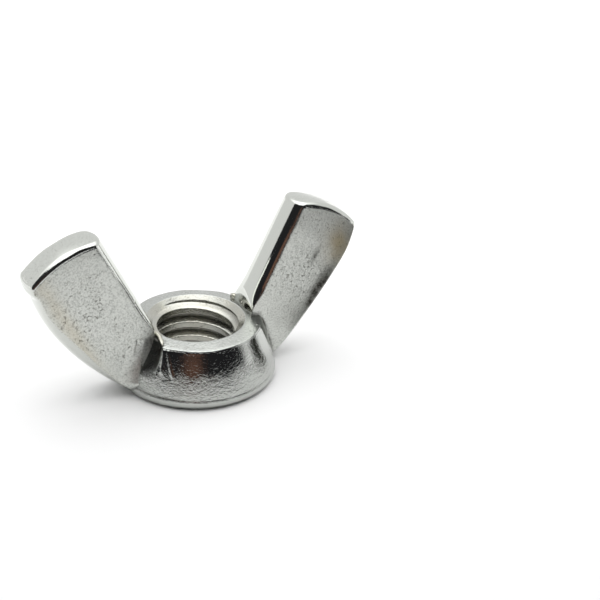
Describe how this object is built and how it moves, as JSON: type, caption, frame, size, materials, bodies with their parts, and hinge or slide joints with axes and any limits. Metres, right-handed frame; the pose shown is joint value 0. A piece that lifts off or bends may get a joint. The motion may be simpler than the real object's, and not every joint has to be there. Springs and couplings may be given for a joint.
{
  "type": "wing nut",
  "caption": "Wing nut: a cone-shaped threaded boss with a flat bearing face, a flat top rim and two flat wings that lean outwards for turning by hand.",
  "frame": {"origin": "centre of the flat bearing face under the boss, on the thread axis", "axes": "+Z along the thread axis, from the bearing face to the top rim; +X towards the tip of wing_right; +Y across the wings' thickness"},
  "size_m": [0.0308, 0.0142, 0.0151],
  "materials": {
    "zinc_plate": "bright zinc plate on forged steel, mirror-like on the cone and the wing edges, satin and pitted on the wing faces"
  },
  "bodies": {
    "root": {"hub": "zinc_plate", "wing_left": "zinc_plate", "wing_right": "zinc_plate"}
  },
  "joints": []
}
